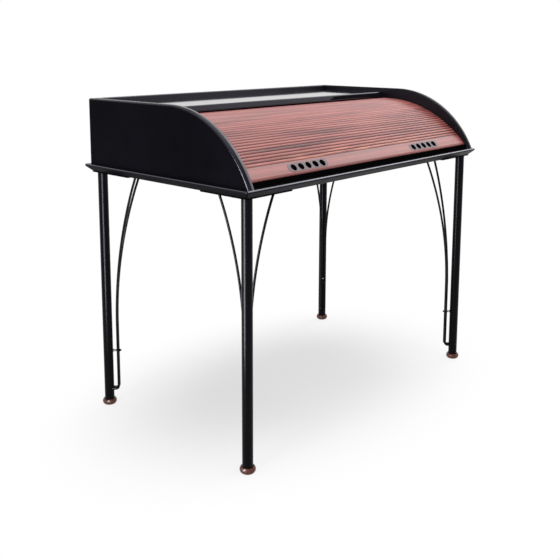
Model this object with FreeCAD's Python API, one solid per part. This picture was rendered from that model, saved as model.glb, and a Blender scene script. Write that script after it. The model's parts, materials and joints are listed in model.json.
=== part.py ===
import FreeCAD, Part
import math
import os

# Roll top secretary desk: a black worktop on four tube legs with bent brace rods, and a low case whose
# front and top are closed by a tambour of narrow wooden slats that runs in curved grooves.
# Millimetres. The origin is on the floor under the middle of the worktop, +X is to the right of a person
# who sits at the desk, +Y is to the back and +Z is up.

# Worktop
WORKTOP_LENGTH = 1100.0
WORKTOP_DEPTH = 662.0
WORKTOP_HEIGHT = 740.0
WORKTOP_THICKNESS = 21.2
WORKTOP_CORNER_RADIUS = 4.0
NOSE_HEIGHT = 6.0
NOSE_RADIUS = 3.0
BEVEL_INSET = 16.0

# Case on the worktop
PANEL_HEIGHT = 190.0
SIDE_THICKNESS = 22.0
SIDE_SETBACK = 11.5
TOE_SETBACK = 4.4
FRONT_ARC_RUN = 296.6
SIDE_ARRIS_RADIUS = 5.0
SIDE_CORNER_RADIUS = 4.0
BACK_THICKNESS = 18.0
BACK_SETBACK = 12.5
BACK_ARRIS_RADIUS = 3.0
BOARD_THICKNESS = 18.0
BOARD_FRONT_SETBACK = 362.0
BOARD_DROP = 14.0
BOARD_EDGE_RADIUS = 4.0

# Tambour track, given by its crest before the top board and by the rail's lower edge at the front
CREST_BEFORE_BOARD_EDGE = 31.0
CREST_GAP = 3.0
RAIL_EDGE_HEIGHT = 15.5
RAIL_SET_IN = 10.0
GROOVE_DEPTH = 10.0
GROOVE_CLEARANCE = 0.5
GROOVE_END_GAP = 7.0
TAIL_BACK_GAP = 8.5

# Tambour
SLAT_COUNT = 33
SLAT_GAP = 1.0
SLAT_THICKNESS = 7.0
SLAT_CROWN = 1.6
SLAT_TAIL_COVER = 16.9
TONGUE_END_GAP = 1.0
CANVAS_THICKNESS = 0.8
CANVAS_SIDE_GAP = 4.0
CANVAS_TUCK = 8.0
KERF_CLEARANCE = 0.1
RAIL_FACE = 42.0
RAIL_THICKNESS = 15.0
RAIL_SIDE_GAP = 1.0
RAIL_FLOOR_GAP = 2.0
RAIL_LOWER_RADIUS = 8.0
RAIL_UPPER_RADIUS = 1.2
STRIP_SET_IN = 4.0
STRIP_BACK_MARGIN = 2.0
STRIP_FLOOR_GAP = 0.3

# Handle plates
HANDLE_FROM_SIDE = 234.5
HANDLE_RIM = 2.0
HANDLE_END = 11.0
HANDLE_THICKNESS = 2.5
HANDLE_PROUD = 0.5
HANDLE_CLEARANCE = 0.1
FINGER_HOLE_COUNT = 5
FINGER_HOLE_DIAMETER = 20.5
FINGER_HOLE_SPACING = 29.2
FINGER_POCKET_DEPTH = 9.0

# Legs and feet
LEG_DIAMETER = 28.6
LEG_WALL = 2.0
LEG_INSET = 36.5
LEG_PLUG_CAP = 4.0
FOOT_DIAMETER = 42.0
FOOT_HEIGHT = 16.0
FOOT_TOP_DIAMETER = 36.0
FOOT_SOLE_DIAMETER = 32.0
STUD_DIAMETER = 8.0
STUD_IN_LEG = 20.0
STUD_IN_FOOT = 11.0

# Corner plates
PLATE_THICKNESS = 3.0
PLATE_MARGIN = 20.0
PLATE_SCREW_DIAMETER = 4.5
PLATE_SCREW_DEPTH = 14.0
PLATE_SCREW_EDGE = 18.0
SCREW_HEAD_DIAMETER = 9.0
SCREW_HEAD_HEIGHT = 2.6

# Brace rods and their clips
ROD_DIAMETER = 7.0
ROD_STANDOFF = 15.1
ROD_END_HEIGHT = 48.0
ROD_BEND_RADIUS = 9.0
ROD_INWARD_START = 255.0
ROD_INWARD_REACH = 76.0
ROD_FLARE_START = 320.0
ROD_FLARE_REACH = 65.0
ROD_CURVE_POINTS = 10
CLIP_HEIGHT = 168.0
CLIP_PIN_DIAMETER = 7.0
CLIP_COLLAR_DIAMETER = 9.0
CLIP_COLLAR_LENGTH = 1.5
CLIP_CAP_BASE = 10.0
CLIP_CAP_TIP = 3.0
CLIP_CAP_LENGTH = 6.5
ROD_CLEARANCE = 0.25

# Dowels
DOWEL_DIAMETER = 8.0
DOWEL_LENGTH = 30.0
DOWEL_SHORT_END = 12.0
DOWEL_END_MARGIN = 70.0
DOWELS_PER_PANEL = 4

FIT_CLEARANCE = 0.05

# The share of a slanting length at 45 degrees along each of its two sides
DIAGONAL = math.sqrt(0.5)

# Places worked out from the driving dimensions
half_length = WORKTOP_LENGTH / 2
half_depth = WORKTOP_DEPTH / 2
worktop_bottom = WORKTOP_HEIGHT - WORKTOP_THICKNESS
panel_top = WORKTOP_HEIGHT + PANEL_HEIGHT
side_outer = half_length - SIDE_SETBACK
side_inner = side_outer - SIDE_THICKNESS
back_outer = half_depth - BACK_SETBACK
back_inner = back_outer - BACK_THICKNESS
board_top = panel_top - BOARD_DROP
board_bottom = board_top - BOARD_THICKNESS
board_front = BOARD_FRONT_SETBACK - half_depth

# The side panel's front curve is an arc that leaves the flat top level and ends at the toe.
toe = TOE_SETBACK - half_depth
arc_start = toe + FRONT_ARC_RUN
arc_radius = (FRONT_ARC_RUN ** 2 + PANEL_HEIGHT ** 2) / (2 * PANEL_HEIGHT)
arc_centre_z = panel_top - arc_radius

# The track is a circle through the crest and the rail's lower edge, level at the crest.
crest_y = board_front - CREST_BEFORE_BOARD_EDGE
crest_z = board_bottom - CREST_GAP
rail_edge_z = WORKTOP_HEIGHT + RAIL_EDGE_HEIGHT
panel_edge_y = arc_start - math.sqrt(arc_radius ** 2 - (rail_edge_z - arc_centre_z) ** 2)
rail_edge_y = panel_edge_y + RAIL_SET_IN
track_fall = crest_z - rail_edge_z
track_radius = ((crest_y - rail_edge_y) ** 2 + track_fall ** 2) / (2 * track_fall)
track_centre = FreeCAD.Vector(0, crest_y, crest_z - track_radius)
slat_inner_radius = track_radius - SLAT_THICKNESS
tongue_end = side_inner + GROOVE_DEPTH - TONGUE_END_GAP

# Angles along the track, in degrees from the crest towards the front
degrees_per_mm = math.degrees(1 / track_radius)
rail_low = math.degrees(math.acos(1 - track_fall / track_radius))
rail_high = rail_low - RAIL_FACE * degrees_per_mm
rail_middle = (rail_low + rail_high) / 2
tail_angle = -math.degrees(math.asin((CREST_BEFORE_BOARD_EDGE + SLAT_TAIL_COVER) / track_radius))
slat_step = (rail_high - tail_angle) / SLAT_COUNT
slat_width = slat_step / degrees_per_mm - SLAT_GAP
slat_first = rail_high - slat_step / 2 - SLAT_GAP / 2 * degrees_per_mm
tail_open = -math.degrees(math.asin((back_inner - TAIL_BACK_GAP - crest_y) / track_radius))
roll_travel = tail_angle - tail_open

# Handle plates, sized round their finger holes
handle_centre = side_inner - HANDLE_FROM_SIDE
finger_row = FINGER_HOLE_SPACING * (FINGER_HOLE_COUNT - 1)
handle_length = finger_row + FINGER_HOLE_DIAMETER + 2 * HANDLE_END
handle_width = FINGER_HOLE_DIAMETER + 2 * HANDLE_RIM

# Legs and rods
leg_radius = LEG_DIAMETER / 2
leg_x = half_length - LEG_INSET
leg_y = half_depth - LEG_INSET
plate_bottom = worktop_bottom - PLATE_THICKNESS
rod_radius = ROD_DIAMETER / 2
rod_offset = leg_radius + ROD_STANDOFF
rod_spacing = ROD_DIAMETER + CLIP_PIN_DIAMETER + 2 * ROD_CLEARANCE

# A rod's upper end, from the leg's axis: along the diagonal of the corner and across it
rod_top_inward = rod_offset + ROD_INWARD_REACH
rod_top_across = rod_spacing / 2 + ROD_FLARE_REACH

# Distances from a corner plate's outer edges: the leg, then a rod's upper end along each edge
leg_from_edge = LEG_INSET - BEVEL_INSET
rod_far = leg_from_edge + (rod_top_inward + rod_top_across) * DIAGONAL
rod_near = leg_from_edge + (rod_top_inward - rod_top_across) * DIAGONAL
plate_side = rod_far + PLATE_MARGIN
plate_end = rod_near + rod_radius + PLATE_MARGIN

X_AXIS = FreeCAD.Vector(1, 0, 0)
Z_AXIS = FreeCAD.Vector(0, 0, 1)
CORNERS = {
    "front_left": (-1, -1),
    "front_right": (1, -1),
    "back_left": (-1, 1),
    "back_right": (1, 1),
}


def save(node, shape):
    """Writes one node's solids."""
    if not shape.isValid() or not shape.Solids:
        raise ValueError(node + " is not a sound solid")
    shape.exportStep("parts/" + node + ".step")


def block(low, high):
    """A box between two corners."""
    size = [b - a for a, b in zip(low, high)]
    return Part.makeBox(size[0], size[1], size[2], FreeCAD.Vector(*low))


def round_bar(start, direction, radius, length):
    """A straight bar from a point along a direction."""
    return Part.makeCylinder(radius, length, start, direction)


def rounded_outline(half_x, half_y, radius, z):
    """A rectangle with round corners, level at z."""
    outline = Part.makePlane(2 * half_x, 2 * half_y, FreeCAD.Vector(-half_x, -half_y, z))
    prism = outline.extrude(Z_AXIS)
    upright = [e for e in prism.Edges if abs(e.tangentAt(e.FirstParameter).z) > 0.9]
    rounded = prism.makeFillet(radius, upright)
    floor_face = min(rounded.Faces, key=lambda face: face.CenterOfMass.z)
    return floor_face.OuterWire


def edges_through(shape, points, reach=0.01):
    """The edges of a shape that pass through the given points."""
    found = []
    for point in points:
        near = [e for e in shape.Edges if e.distToShape(Part.Vertex(point))[0] < reach]
        found.append(min(near, key=lambda e: (e.CenterOfMass - point).Length))
    return found


def on_track(angle, radius, x=0.0):
    """The point at an angle along the track and a distance from its axis."""
    turn = math.radians(angle)
    return track_centre + FreeCAD.Vector(x, -radius * math.sin(turn), radius * math.cos(turn))


def turned(shape, angle):
    """A copy of a shape made at the crest, carried along the track to an angle."""
    copy = shape.copy()
    copy.rotate(track_centre, X_AXIS, angle)
    return copy


def track_sector(inner, outer, low_angle, high_angle, half_x):
    """A bent bar along the track, between two radii and two angles, across the desk."""
    middle = (low_angle + high_angle) / 2
    outer_arc = Part.Arc(
        on_track(low_angle, outer, -half_x),
        on_track(middle, outer, -half_x),
        on_track(high_angle, outer, -half_x),
    )
    inner_arc = Part.Arc(
        on_track(high_angle, inner, -half_x),
        on_track(middle, inner, -half_x),
        on_track(low_angle, inner, -half_x),
    )
    edges = [
        outer_arc.toShape(),
        Part.makeLine(on_track(high_angle, outer, -half_x), on_track(high_angle, inner, -half_x)),
        inner_arc.toShape(),
        Part.makeLine(on_track(low_angle, inner, -half_x), on_track(low_angle, outer, -half_x)),
    ]
    return Part.Face(Part.Wire(edges)).extrude(X_AXIS * (2 * half_x))


def spread(low, high, count):
    """Evenly spaced places from low to high."""
    return [low + (high - low) * i / (count - 1) for i in range(count)]


# Dowels: where each one starts and the way it points; its short end comes first.
def dowel_places():
    short = DOWEL_SHORT_END
    side_middle = side_outer - SIDE_THICKNESS / 2
    back_middle = back_outer - BACK_THICKNESS / 2
    board_middle = board_top - BOARD_THICKNESS / 2
    foot_z = WORKTOP_HEIGHT - short
    places = []
    for y in spread(arc_start - FRONT_ARC_RUN / 2, back_inner - DOWEL_END_MARGIN, DOWELS_PER_PANEL):
        for side in (-1, 1):
            places.append((FreeCAD.Vector(side * side_middle, y, foot_z), Z_AXIS))
    for x in spread(DOWEL_END_MARGIN - side_inner, side_inner - DOWEL_END_MARGIN, DOWELS_PER_PANEL):
        places.append((FreeCAD.Vector(x, back_middle, foot_z), Z_AXIS))
    end_x = side_inner + short
    for side in (-1, 1):
        inward = X_AXIS * -side
        for z in spread(WORKTOP_HEIGHT + PANEL_HEIGHT / 4, panel_top - PANEL_HEIGHT / 4, 2):
            places.append((FreeCAD.Vector(side * end_x, back_middle, z), inward))
        for y in spread(board_front + DOWEL_END_MARGIN, back_inner - DOWEL_END_MARGIN, 2):
            places.append((FreeCAD.Vector(side * end_x, y, board_middle), inward))
    return places


def dowel_holes():
    """The drilled holes, a little wider and longer than the dowels."""
    radius = DOWEL_DIAMETER / 2 + FIT_CLEARANCE
    holes = [
        round_bar(start - way * FIT_CLEARANCE, way, radius, DOWEL_LENGTH + 2 * FIT_CLEARANCE)
        for start, way in dowel_places()
    ]
    return Part.makeCompound(holes)


def dowels():
    bars = [round_bar(start, way, DOWEL_DIAMETER / 2, DOWEL_LENGTH) for start, way in dowel_places()]
    return Part.makeCompound(bars)


# Corner plates: a point given by its distances from the plate's two outer edges
def plate_point(corner, along_x, along_y, z):
    side_x, side_y = CORNERS[corner]
    x = side_x * (half_length - BEVEL_INSET - along_x)
    y = side_y * (half_depth - BEVEL_INSET - along_y)
    return FreeCAD.Vector(x, y, z)


def plate_screw_places(corner):
    """Where the screws pass through a plate's underside."""
    middle = plate_side / 2
    spots = [(middle, PLATE_SCREW_EDGE), (PLATE_SCREW_EDGE, middle), (middle, middle)]
    return [plate_point(corner, u, v, plate_bottom) for u, v in spots]


def plate_screw_holes():
    radius = PLATE_SCREW_DIAMETER / 2 + FIT_CLEARANCE
    depth = PLATE_SCREW_DEPTH + FIT_CLEARANCE
    places = [place for corner in CORNERS for place in plate_screw_places(corner)]
    return Part.makeCompound([round_bar(place, Z_AXIS, radius, depth) for place in places])


def plate_screws():
    """Pan head screws, driven up through the plates."""
    screws = []
    for corner in CORNERS:
        for place in plate_screw_places(corner):
            shank = round_bar(place, Z_AXIS, PLATE_SCREW_DIAMETER / 2, PLATE_SCREW_DEPTH)
            head = round_bar(place, -Z_AXIS, SCREW_HEAD_DIAMETER / 2, SCREW_HEAD_HEIGHT)
            rim_point = place + FreeCAD.Vector(SCREW_HEAD_DIAMETER / 2, 0, -SCREW_HEAD_HEIGHT)
            head = head.makeFillet(SCREW_HEAD_HEIGHT / 2, edges_through(head, [rim_point]))
            screws.append(shank.fuse(head))
    return Part.makeCompound(screws)


def corner_plate(corner):
    """A square plate with its inner corner cut off, under the worktop."""
    outline = [(0, 0), (plate_side, 0), (plate_side, plate_end), (plate_end, plate_side), (0, plate_side)]
    points = [plate_point(corner, u, v, plate_bottom) for u, v in outline + outline[:1]]
    plate = Part.Face(Part.makePolygon(points)).extrude(Z_AXIS * PLATE_THICKNESS)
    return plate.cut(plate_screw_holes())


# Worktop
def worktop():
    nose_bottom = WORKTOP_HEIGHT - NOSE_HEIGHT
    upper = rounded_outline(half_length, half_depth, WORKTOP_CORNER_RADIUS, nose_bottom)
    lower = rounded_outline(
        half_length - BEVEL_INSET, half_depth - BEVEL_INSET, WORKTOP_CORNER_RADIUS, worktop_bottom
    )
    nose = Part.Face(upper).extrude(Z_AXIS * NOSE_HEIGHT)
    rim = [e for e in nose.Edges if e.BoundBox.ZMin > WORKTOP_HEIGHT - NOSE_HEIGHT / 2]
    nose = nose.makeFillet(NOSE_RADIUS, rim)
    bevel = Part.makeLoft([lower, upper], True, True)
    return nose.fuse(bevel).removeSplitter().cut(plate_screw_holes()).cut(dowel_holes())


# Case
def side_panel(side):
    """A board with a flat top and one arc to the front, and the tambour's groove on its inner face."""
    radius = SIDE_CORNER_RADIUS
    x = side * side_inner
    corner_y = back_outer - radius
    corner_z = panel_top - radius
    half_turn = math.asin(FRONT_ARC_RUN / arc_radius) / 2

    def at(y, z):
        return FreeCAD.Vector(x, y, z)

    arc_middle = at(
        arc_start - arc_radius * math.sin(half_turn), arc_centre_z + arc_radius * math.cos(half_turn)
    )
    corner_middle = at(corner_y + radius * DIAGONAL, corner_z + radius * DIAGONAL)
    edges = [
        Part.makeLine(at(toe, WORKTOP_HEIGHT), at(back_outer, WORKTOP_HEIGHT)),
        Part.makeLine(at(back_outer, WORKTOP_HEIGHT), at(back_outer, corner_z)),
        Part.Arc(at(back_outer, corner_z), corner_middle, at(corner_y, panel_top)).toShape(),
        Part.makeLine(at(corner_y, panel_top), at(arc_start, panel_top)),
        Part.Arc(at(arc_start, panel_top), arc_middle, at(toe, WORKTOP_HEIGHT)).toShape(),
    ]
    panel = Part.Face(Part.Wire(edges)).extrude(X_AXIS * (side * SIDE_THICKNESS))
    shift = X_AXIS * (side * SIDE_THICKNESS)
    panel = panel.makeFillet(SIDE_ARRIS_RADIUS, edges_through(panel, [arc_middle, arc_middle + shift]))
    groove = track_sector(
        slat_inner_radius - GROOVE_CLEARANCE,
        track_radius + GROOVE_CLEARANCE,
        tail_open - GROOVE_END_GAP * degrees_per_mm,
        rail_low + GROOVE_END_GAP * degrees_per_mm,
        side_inner + GROOVE_DEPTH,
    )
    return panel.cut(groove).cut(dowel_holes())


def back_panel():
    panel = block((-side_inner, back_inner, WORKTOP_HEIGHT), (side_inner, back_outer, panel_top))
    arrises = [FreeCAD.Vector(0, y, panel_top) for y in (back_inner, back_outer)]
    return panel.makeFillet(BACK_ARRIS_RADIUS, edges_through(panel, arrises)).cut(dowel_holes())


def top_board():
    board = block((-side_inner, board_front, board_bottom), (side_inner, back_inner, board_top))
    front_edge = edges_through(board, [FreeCAD.Vector(0, board_front, board_top)])
    return board.makeFillet(BOARD_EDGE_RADIUS, front_edge).cut(dowel_holes())


# Tambour, each piece made at the crest or along the track
def slat():
    """One slat at the crest: flat behind, upright sides and a crowned face."""
    half_width = slat_width / 2
    shoulder = track_radius - SLAT_CROWN

    def at(y, radius):
        return track_centre + FreeCAD.Vector(-tongue_end, y, radius)

    crown = Part.Arc(at(half_width, shoulder), at(0, track_radius), at(-half_width, shoulder))
    edges = [
        Part.makeLine(at(-half_width, slat_inner_radius), at(half_width, slat_inner_radius)),
        Part.makeLine(at(half_width, slat_inner_radius), at(half_width, shoulder)),
        crown.toShape(),
        Part.makeLine(at(-half_width, shoulder), at(-half_width, slat_inner_radius)),
    ]
    return Part.Face(Part.Wire(edges)).extrude(X_AXIS * (2 * tongue_end))


def canvas():
    """The cloth glued behind the slats, tucked into the rail."""
    return track_sector(
        slat_inner_radius - CANVAS_THICKNESS,
        slat_inner_radius,
        tail_angle,
        rail_high + CANVAS_TUCK * degrees_per_mm,
        side_inner - CANVAS_SIDE_GAP,
    )


def stadium(length, width, height):
    """A bar with round ends, lying along X on the plane z = 0."""
    radius = width / 2
    straight = length - width
    bar = Part.makeBox(straight, width, height, FreeCAD.Vector(-straight / 2, -radius, 0))
    for end in (-1, 1):
        bar = bar.fuse(round_bar(FreeCAD.Vector(end * straight / 2, 0, 0), Z_AXIS, radius, height))
    return bar.removeSplitter()


def on_rail(shape, side):
    """Carries a shape from the plane z = 0 to a handle's seat in the rail."""
    seat = track_radius + HANDLE_PROUD - HANDLE_THICKNESS
    shape.translate(track_centre + FreeCAD.Vector(side * handle_centre, 0, seat))
    return turned(shape, rail_middle)


def finger_holes(depth, height):
    """Round bars for a handle's row of finger holes, from below to above the plane z = 0."""
    radius = FINGER_HOLE_DIAMETER / 2
    bars = [
        round_bar(FreeCAD.Vector(x, 0, -depth), Z_AXIS, radius, depth + height)
        for x in spread(-finger_row / 2, finger_row / 2, FINGER_HOLE_COUNT)
    ]
    return Part.makeCompound(bars)


def handle_plate(side):
    plate = stadium(handle_length, handle_width, HANDLE_THICKNESS)
    return on_rail(plate.cut(finger_holes(0, HANDLE_THICKNESS)), side)


def rail():
    """The wide lower slat: thin tongues in the grooves, seats and pockets for the handle plates."""
    body_half = side_inner - RAIL_SIDE_GAP
    inner = track_radius - RAIL_THICKNESS
    bar = track_sector(inner, track_radius, rail_high, rail_low, tongue_end)
    bar = bar.makeFillet(RAIL_LOWER_RADIUS, edges_through(bar, [on_track(rail_low, track_radius)]))
    bar = bar.makeFillet(RAIL_UPPER_RADIUS, edges_through(bar, [on_track(rail_high, track_radius)]))
    behind_tongue = track_sector(
        inner - RAIL_THICKNESS, slat_inner_radius, rail_high - slat_step, rail_low + slat_step, tongue_end
    )
    middle = block((-body_half, -half_depth, 0), (body_half, half_depth, panel_top))
    bar = bar.cut(behind_tongue.cut(middle))
    kerf = track_sector(
        slat_inner_radius - CANVAS_THICKNESS - KERF_CLEARANCE,
        slat_inner_radius + KERF_CLEARANCE,
        rail_high - slat_step,
        rail_high + (CANVAS_TUCK + KERF_CLEARANCE) * degrees_per_mm,
        side_inner - CANVAS_SIDE_GAP + KERF_CLEARANCE,
    )
    bar = bar.cut(kerf)
    for side in (-1, 1):
        grown = 2 * HANDLE_CLEARANCE
        seat = stadium(handle_length + grown, handle_width + grown, 2 * HANDLE_THICKNESS)
        pockets = finger_holes(FINGER_POCKET_DEPTH, HANDLE_THICKNESS)
        bar = bar.cut(on_rail(seat, side)).cut(on_rail(pockets, side))
    return bar.cut(below(WORKTOP_HEIGHT + RAIL_FLOOR_GAP))


def below(z):
    """All the room under a height, as wide as the desk."""
    return block((-half_length, -half_depth, 0), (half_length, half_depth, z))


def closing_strip():
    """The strip under the rail that closes the case on the worktop."""
    strip = track_sector(
        track_radius - RAIL_THICKNESS + STRIP_BACK_MARGIN,
        track_radius - STRIP_SET_IN,
        rail_low,
        rail_low + 2 * RAIL_EDGE_HEIGHT * degrees_per_mm,
        side_inner - RAIL_SIDE_GAP,
    )
    return strip.cut(below(WORKTOP_HEIGHT + STRIP_FLOOR_GAP))


# Legs, feet and braces
def leg_place(corner, z):
    side_x, side_y = CORNERS[corner]
    return FreeCAD.Vector(side_x * leg_x, side_y * leg_y, z)


def inward_way(corner):
    """The level direction from a leg along the diagonal of its corner."""
    side_x, side_y = CORNERS[corner]
    return FreeCAD.Vector(-side_x, -side_y, 0).normalize()


def leg(corner):
    """A tube with a threaded plug welded into its lower end."""
    base = leg_place(corner, FOOT_HEIGHT)
    height = plate_bottom - FOOT_HEIGHT
    tube = round_bar(base, Z_AXIS, leg_radius, height)
    hollow = round_bar(base + Z_AXIS * (STUD_IN_LEG + LEG_PLUG_CAP), Z_AXIS, leg_radius - LEG_WALL, height)
    thread = round_bar(base, Z_AXIS, STUD_DIAMETER / 2 + FIT_CLEARANCE, STUD_IN_LEG + FIT_CLEARANCE)
    return tube.cut(hollow).cut(thread)


def foot(corner):
    """A turned foot with a round bulge."""
    base = leg_place(corner, 0)
    sole = FOOT_SOLE_DIAMETER / 2
    top = FOOT_TOP_DIAMETER / 2
    bulge = FOOT_DIAMETER / 2

    def at(radius, z):
        return base + FreeCAD.Vector(radius, 0, z)

    side = Part.Arc(at(sole, 0), at(bulge, FOOT_HEIGHT / 2), at(top, FOOT_HEIGHT))
    edges = [
        Part.makeLine(at(0, 0), at(sole, 0)),
        side.toShape(),
        Part.makeLine(at(top, FOOT_HEIGHT), at(0, FOOT_HEIGHT)),
        Part.makeLine(at(0, FOOT_HEIGHT), at(0, 0)),
    ]
    turned_foot = Part.Face(Part.Wire(edges)).revolve(base, Z_AXIS, 360)
    depth = STUD_IN_FOOT + FIT_CLEARANCE
    hole = round_bar(at(0, FOOT_HEIGHT - depth), Z_AXIS, STUD_DIAMETER / 2 + FIT_CLEARANCE, depth)
    return turned_foot.cut(hole)


def foot_studs():
    length = STUD_IN_FOOT + STUD_IN_LEG
    studs = [
        round_bar(leg_place(corner, FOOT_HEIGHT - STUD_IN_FOOT), Z_AXIS, STUD_DIAMETER / 2, length)
        for corner in CORNERS
    ]
    return Part.makeCompound(studs)


def bow(z, start, reach):
    """How far an arc has swung from the upright at a height, if it swings by its reach at the plates."""
    rise = plate_bottom - start
    radius = (rise ** 2 + reach ** 2) / (2 * reach)
    return radius - math.sqrt(radius ** 2 - max(z - start, 0) ** 2)


def brace_rod(corner, side):
    """One rod: out of the leg, up along it, then bowed inward and, higher up, away from its twin."""
    inward = inward_way(corner)
    across = inward.cross(Z_AXIS) * side
    beside = rod_spacing / 2
    foot_point = leg_place(corner, ROD_END_HEIGHT) + across * beside
    upright = leg_place(corner, 0) + across * beside + inward * rod_offset
    bend = ROD_BEND_RADIUS
    bend_centre = upright - inward * bend + Z_AXIS * (ROD_END_HEIGHT + bend)
    bend_start = bend_centre - Z_AXIS * bend
    bend_middle = bend_centre + (inward - Z_AXIS) * (bend * DIAGONAL)
    bend_end = bend_centre + inward * bend
    points = []
    for z in spread(ROD_INWARD_START, plate_bottom + ROD_DIAMETER, ROD_CURVE_POINTS):
        swing = inward * bow(z, ROD_INWARD_START, ROD_INWARD_REACH)
        flare = across * bow(z, ROD_FLARE_START, ROD_FLARE_REACH)
        points.append(upright + Z_AXIS * z + swing + flare)
    end_way = (points[-1] - points[-2]).normalize()
    curve = Part.BSplineCurve()
    curve.interpolate(points, InitialTangent=Z_AXIS, FinalTangent=end_way)
    path = Part.Wire([
        Part.makeLine(foot_point, bend_start),
        Part.Arc(bend_start, bend_middle, bend_end).toShape(),
        Part.makeLine(bend_end, points[0]),
        curve.toShape(),
    ])
    section = Part.Wire([Part.makeCircle(rod_radius, foot_point, inward)])
    bar = path.makePipeShell([section], True, False)
    room_above = block((-half_length, -half_depth, plate_bottom), (half_length, half_depth, panel_top))
    leg_bar = round_bar(leg_place(corner, 0), Z_AXIS, leg_radius, plate_bottom)
    return bar.cut(leg_bar).cut(room_above)


def leg_braces(corner):
    return Part.makeCompound([brace_rod(corner, side) for side in (-1, 1)])


def brace_clip(corner):
    """A pin from the leg between two rods, with a collar at the leg and a pointed cap outside the rods."""
    inward = inward_way(corner)
    axis_point = leg_place(corner, CLIP_HEIGHT)
    cap_start = rod_offset + rod_radius + FIT_CLEARANCE
    collar = round_bar(axis_point, inward, CLIP_COLLAR_DIAMETER / 2, leg_radius + CLIP_COLLAR_LENGTH)
    pin = round_bar(axis_point, inward, CLIP_PIN_DIAMETER / 2, cap_start)
    cap = Part.makeCone(
        CLIP_CAP_BASE / 2, CLIP_CAP_TIP / 2, CLIP_CAP_LENGTH, axis_point + inward * cap_start, inward
    )
    leg_bar = round_bar(leg_place(corner, 0), Z_AXIS, leg_radius, plate_bottom)
    return collar.fuse(pin).fuse(cap).cut(leg_bar)


def build():
    os.makedirs("parts", exist_ok=True)
    save("worktop", worktop())
    save("side_panel_left", side_panel(-1))
    save("side_panel_right", side_panel(1))
    save("back_panel", back_panel())
    save("top_board", top_board())
    save("carcass_dowels", dowels())
    save("plate_screws", plate_screws())
    save("foot_studs", foot_studs())
    save("brace_clips", Part.makeCompound([brace_clip(corner) for corner in CORNERS]))
    save("corner_plates", Part.makeCompound([corner_plate(corner) for corner in CORNERS]))
    for corner in CORNERS:
        save("leg_" + corner, leg(corner))
        save("foot_" + corner, foot(corner))
        save("leg_braces_" + corner, leg_braces(corner))
    save("tambour_rail", rail())
    save("rail_closing_strip", closing_strip())
    save("handle_plate_left", handle_plate(-1))
    save("handle_plate_right", handle_plate(1))
    save("tambour_canvas", canvas())
    one_slat = slat()
    for i in range(SLAT_COUNT):
        save("tambour_slat_%02d" % (i + 1), turned(one_slat, slat_first - i * slat_step))
    print("track axis y %.3f z %.3f radius %.3f" % (track_centre.y, track_centre.z, track_radius))
    print("rail from %.3f to %.3f degrees" % (rail_high, rail_low))
    print("tail at %.3f degrees, travel %.3f degrees" % (tail_angle, roll_travel))


build()
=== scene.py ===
import json
import math
import random

import bmesh
import bpy
from bpy.props import FloatProperty, FloatVectorProperty, IntProperty, PointerProperty
from mathutils import Euler, Matrix, Vector


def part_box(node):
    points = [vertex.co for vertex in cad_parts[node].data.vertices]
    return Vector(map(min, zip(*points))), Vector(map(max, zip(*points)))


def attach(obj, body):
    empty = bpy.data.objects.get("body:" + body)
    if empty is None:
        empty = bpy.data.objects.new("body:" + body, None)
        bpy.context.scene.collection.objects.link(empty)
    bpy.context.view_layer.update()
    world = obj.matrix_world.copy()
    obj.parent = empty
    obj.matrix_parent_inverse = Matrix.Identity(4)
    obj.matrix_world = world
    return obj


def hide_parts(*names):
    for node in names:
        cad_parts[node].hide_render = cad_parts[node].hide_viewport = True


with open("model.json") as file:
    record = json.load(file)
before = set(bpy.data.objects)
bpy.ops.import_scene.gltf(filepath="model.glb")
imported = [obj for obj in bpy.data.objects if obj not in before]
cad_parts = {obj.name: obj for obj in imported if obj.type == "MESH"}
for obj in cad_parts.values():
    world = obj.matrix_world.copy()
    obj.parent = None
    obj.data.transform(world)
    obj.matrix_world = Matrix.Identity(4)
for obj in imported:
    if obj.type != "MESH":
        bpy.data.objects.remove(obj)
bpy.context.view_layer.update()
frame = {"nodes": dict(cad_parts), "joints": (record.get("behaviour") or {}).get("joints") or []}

bl_info = {
    "name": "Roll top secretary desk",
    "version": (1, 0, 0),
    "blender": (4, 5, 0),
    "location": "3D View > Sidebar > Desk",
    "description": "Finishes, cloth, screws and studio for a black desk with a wooden roll top",
    "category": "Object",
}

NODES = frame["nodes"]

# The roll top turns about one axis along X, so every place on it is an angle and a radius.
AXIS_Y, AXIS_Z = frame["joints"][0]["pos_m"][1:]


def track_place(point):
    """Angle forward of the crest, and radius, of a point about the roll top's axis."""
    forward = AXIS_Y - point.y
    above = point.z - AXIS_Z
    return math.atan2(forward, above), math.hypot(forward, above)


def track_reach(node):
    """Lowest and highest angle, then lowest and highest radius, of a node of the roll top."""
    places = [track_place(vertex.co) for vertex in NODES[node].data.vertices]
    angles, radii = zip(*places)
    return min(angles), max(angles), min(radii), max(radii)


SLATS = sorted(name for name in NODES if name.startswith("tambour_slat_"))
RAIL_TOP_ANGLE, _, RAIL_BACK_RADIUS, TRACK_RADIUS = track_reach("tambour_rail")
RAIL_HIGH = RAIL_TOP_ANGLE * TRACK_RADIUS
SLAT_STEP_ANGLE = (RAIL_TOP_ANGLE - track_reach(SLATS[-1])[0]) / len(SLATS)
SLAT_STEP = SLAT_STEP_ANGLE * TRACK_RADIUS


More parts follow.
